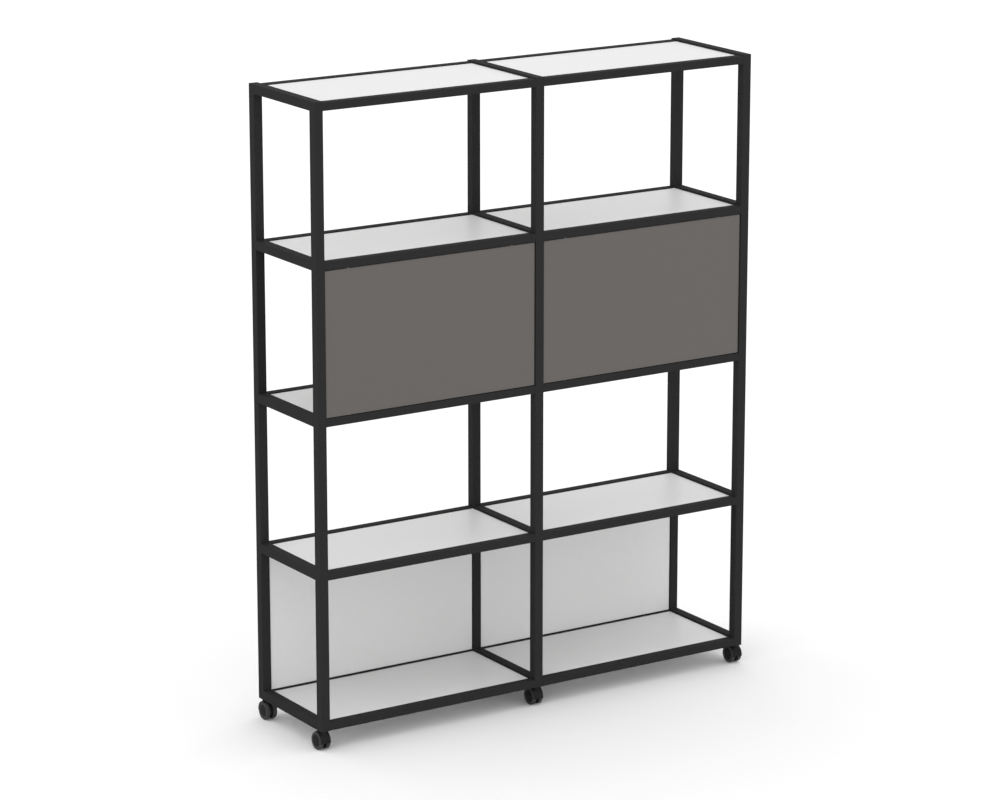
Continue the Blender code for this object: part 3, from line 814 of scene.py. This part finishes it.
def housing(row, side):
    """A castor housing: hood over a thin web, stem boss with its bore, and axle."""
    cast = look("castor")
    name = "castor_%s_%s" % (row, side)
    low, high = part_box(name + "_housing")
    axle = Vector(JOINTS[name + "_wheel_left_spin"]["pos_m"])
    stem = post(row, side)
    at_axle = Matrix.Translation((stem.x, axle.y, axle.z))
    at_stem = Matrix.Translation((stem.x, stem.y, high.z))
    to_right, to_left = [at_axle @ Matrix.Rotation(turn, 4, "Y")
                         for turn in (math.pi / 2, -math.pi / 2)]
    half = (high.x - low.x) / 2
    body = extruded(housing_outline(1 if stem.y > axle.y else -1), -half, half, at_axle)
    boss = rod(cast.stem_boss, 0, -cast.boss_depth, cast.boss_steps, at_stem)
    inner = cast.hood - cast.hood_wall
    pockets = joined(rod(inner, half + cast.hood_wall, cast.web / 2, cast.steps, outward)
                     for outward in (to_right, to_left))
    bore = rod(cast.bore, cast.edge, cast.boss_floor - cast.boss_depth, cast.pin_steps, at_stem)
    pin = rod(cast.axle, cast.axle_reach, -cast.axle_reach, cast.pin_steps, to_right)
    bm = carved(body, [(boss, "UNION"), (pockets, "DIFFERENCE"), (bore, "DIFFERENCE"),
                       (pin, "UNION")])
    rounded(bm, corners(bm, MOULDED_CORNER), cast.edge, cast.edge_steps)
    return bm


def thrust_face(row, side):
    """Where an insert begins: in the middle of a post, just above the castor's housing."""
    stem = post(row, side)
    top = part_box("castor_%s_%s_housing" % (row, side))[1].z
    return Vector((stem.x, stem.y, top + look("castor").thrust_gap))


def insert(row, side):
    """The ribbed plastic insert in a post's foot that a castor turns under."""
    cast = look("castor")
    tube = look("tube")
    stem = thrust_face(row, side)
    core = rod(cast.core, 0, cast.core_rise, cast.pin_steps, Matrix.Translation(stem))
    foot = level_foot(1) - tube.foot_step + cast.rib_recess
    reach = tube.tube / 2 - tube.wall
    half = cast.rib / 2
    ribs = []
    for across, along in ((reach, half), (half, reach)):
        ribs.append((box_form((stem.x - across, stem.y - along, foot),
                              (stem.x + across, stem.y + along, foot + cast.rib_rise)), "UNION"))
    bm = carved(core, ribs)
    rounded(bm, corners(bm, MOULDED_CORNER), cast.edge, cast.edge_steps)
    return bm


def stem_pin(row, side):
    """The steel stem under an insert."""
    cast = look("castor")
    bm = rod(cast.stem, cast.edge, -cast.stem_reach, cast.pin_steps,
             Matrix.Translation(thrust_face(row, side)))
    rounded(bm, corners(bm, MOULDED_CORNER), cast.edge, cast.edge_steps)
    return bm


# Stage


def white_floor():
    """A square floor that looks white and lights the unit from below."""
    settings = look("stage")
    bm = bmesh.new()
    bmesh.ops.create_grid(bm, x_segments=1, y_segments=1, size=settings.floor / 2)
    mesh = mesh_of(bm, "floor")
    paper = Finish("floor_white", Roughness=settings.floor_roughness, Specular_IOR_Level=0.0)
    paper.paint("Base Color", paper.mix(paper.seen(), settings.floor_colour, settings.paper))
    mesh.materials.append(paper.material)
    floor = placed("floor", mesh)


def even_sky():
    """Even light from all round, with plain white behind the unit."""
    settings = look("stage")
    world = bpy.data.worlds.new("studio")
    bpy.context.scene.world = world
    world.use_nodes = True
    world.node_tree.nodes.clear()
    sky = Nodes(world.node_tree)
    light = sky.node("ShaderNodeBackground", inputs={
        "Color": (1, 1, 1), "Strength": sky.seen() * (1.0 - settings.sky) + settings.sky})
    sky.node("ShaderNodeOutputWorld", inputs={"Surface": light})


def top_light():
    """A wide, weak light straight above the unit."""
    settings = look("stage")
    lamp = bpy.data.lights.new("top_light", "SUN")
    lamp.energy = settings.top_light
    lamp.angle = settings.top_spread
    placed("top_light", lamp).location = (0, 0, 2 * CAD_BOX[1].z)


def camera_view():
    """The camera, and the plain view transform that its picture needs."""
    settings = look("stage")
    camera = bpy.data.cameras.new("camera")
    camera.lens = settings.focal
    camera.sensor_width = settings.sensor
    camera.clip_end = settings.reach
    item = placed("camera", camera)
    item.location = settings.place
    item.rotation_euler = (settings.tilt, 0, settings.turn)
    bpy.context.scene.camera = item
    bpy.context.scene.view_settings.view_transform = "Standard"


# Operators


class SHELVING_OT_finishes(Operator):
    """Makes the materials"""
    bl_idname = "shelving.finishes"
    bl_label = "Finishes"

    def execute(self, context):
        boards, cast = look("board"), look("castor")
        powder_coat()
        laminate("laminate_white", boards.white, boards.white_relief)
        # the back panels' white, painted paler than the boards' to stand in for light
        laminate("laminate_white_painted_light", boards.white_painted_light, boards.white_relief)
        laminate("laminate_taupe", boards.taupe, boards.taupe_relief)
        moulding("moulded_black", cast.colour, cast.roughness, cast.housing_relief)
        moulding("moulded_grey", cast.tyre, cast.tyre_roughness, cast.tyre_relief)
        zinc_plate()
        return {"FINISHED"}


class SHELVING_OT_side_frames(Operator):
    """Makes the three welded side frames"""
    bl_idname = "shelving.side_frames"
    bl_label = "Side frames"

    def execute(self, context):
        for side in SIDES:
            piece("ladder_" + side, ladder(side), ["powder_coat_black"], "unit",
                  ["side_frame_" + side], "frame_black")
        return {"FINISHED"}


class SHELVING_OT_rails(Operator):
    """Makes the rails between the side frames"""
    bl_idname = "shelving.rails"
    bl_label = "Rails"

    def execute(self, context):
        for row, inward in (("front", 1), ("back", -1)):
            for bay in BAYS:
                for level in LEVELS:
                    node = "rail_%s_%s_level_%d" % (row, bay, level)
                    piece("beam_%s_%s_%d" % (row, bay, level), rail(node, inward),
                          ["powder_coat_black"], "unit", [node], "frame_black")
        return {"FINISHED"}


class SHELVING_OT_boards(Operator):
    """Makes the white shelf boards"""
    bl_idname = "shelving.boards"
    bl_label = "Shelf boards"

    def execute(self, context):
        for bay in BAYS:
            for level in LEVELS:
                node = "shelf_%s_level_%d" % (bay, level)
                piece("board_%s_%d" % (bay, level), board(*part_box(node)), ["laminate_white"],
                      "unit", [node], "board_white")
        return {"FINISHED"}


class SHELVING_OT_panels(Operator):
    """Makes the front and back infill panels and their pegs"""
    bl_idname = "shelving.panels"
    bl_label = "Infill panels"

    def execute(self, context):
        # the back panels take the boards' white painted paler, as painted light
        finishes = {"front": ("laminate_taupe", "panel_taupe"),
                    "back": ("laminate_white_painted_light", "board_white")}
        for row, (material, slot) in finishes.items():
            for bay in BAYS:
                piece("infill_%s_%s" % (row, bay), board(*panel_box(row, bay)), [material],
                      "unit", ["panel_%s_%s" % (row, bay)], slot)
                piece("pegs_%s_%s" % (row, bay), pegs(row, bay), ["zinc_plate"], "unit",
                      **SMALL_PIECE)
        return {"FINISHED"}


class SHELVING_OT_castors(Operator):
    """Makes the twin-wheel castors with their inserts and stems"""
    bl_idname = "shelving.castors"
    bl_label = "Castors"

    def execute(self, context):
        for row in ROWS:
            for side in SIDES:
                place = "%s_%s" % (row, side)
                body = "castor_" + place
                piece("insert_" + place, insert(row, side), ["moulded_black"], "unit",
                      slot="castor_black", **SMALL_PIECE)
                piece("stem_" + place, stem_pin(row, side), ["zinc_plate"], "unit",
                      **SMALL_PIECE)
                piece("hood_" + place, housing(row, side), ["moulded_black"], body,
                      [body + "_housing"], "castor_black", **SMALL_PIECE)
                for hand in HANDS:
                    node = "%s_wheel_%s" % (body, hand)
                    piece("wheel_%s_%s" % (place, hand), wheel(row, side, hand),
                          ["moulded_black", "moulded_grey"], node, [node], "tread_black",
                          **WHEEL_PIECE)
        return {"FINISHED"}


class SHELVING_OT_stage(Operator):
    """Makes the floor, the lights and the camera"""
    bl_idname = "shelving.stage"
    bl_label = "Stage"

    def execute(self, context):
        white_floor()
        even_sky()
        top_light()
        camera_view()
        return {"FINISHED"}


class SHELVING_PT_parts(Panel):
    """Lists the pieces in the 3D view's sidebar"""
    bl_idname = "SHELVING_PT_parts"
    bl_label = "Shelving unit"
    bl_space_type = "VIEW_3D"
    bl_region_type = "UI"
    bl_category = "Shelving"

    def draw(self, context):
        for operator in STEPS:
            self.layout.operator(operator.bl_idname)
        for kind in LOOKS:
            box = self.layout.box()
            settings = look(kind)
            for name in settings.__annotations__:
                box.prop(settings, name)


LOOKS = {"tube": TubeLook, "board": BoardLook, "castor": CastorLook, "stage": StageLook}
STEPS = (SHELVING_OT_finishes, SHELVING_OT_side_frames, SHELVING_OT_rails, SHELVING_OT_boards,
         SHELVING_OT_panels, SHELVING_OT_castors, SHELVING_OT_stage)


def register():
    """Registers the settings, the operators and the panel."""
    for kind, group in LOOKS.items():
        bpy.utils.register_class(group)
        setattr(bpy.types.Scene, "shelving_" + kind, PointerProperty(type=group))
    for operator in STEPS:
        bpy.utils.register_class(operator)
    bpy.utils.register_class(SHELVING_PT_parts)


def unregister():
    """Takes the settings, the operators and the panel away again."""
    bpy.utils.unregister_class(SHELVING_PT_parts)
    for operator in reversed(STEPS):
        bpy.utils.unregister_class(operator)
    for kind, group in reversed(LOOKS.items()):
        delattr(bpy.types.Scene, "shelving_" + kind)
        bpy.utils.unregister_class(group)


def main():
    """Makes every piece and the stage."""
    register()
    for operator in STEPS:
        group, name = operator.bl_idname.split(".")
        getattr(getattr(bpy.ops, group), name)()


if __name__ == "__main__":
    main()
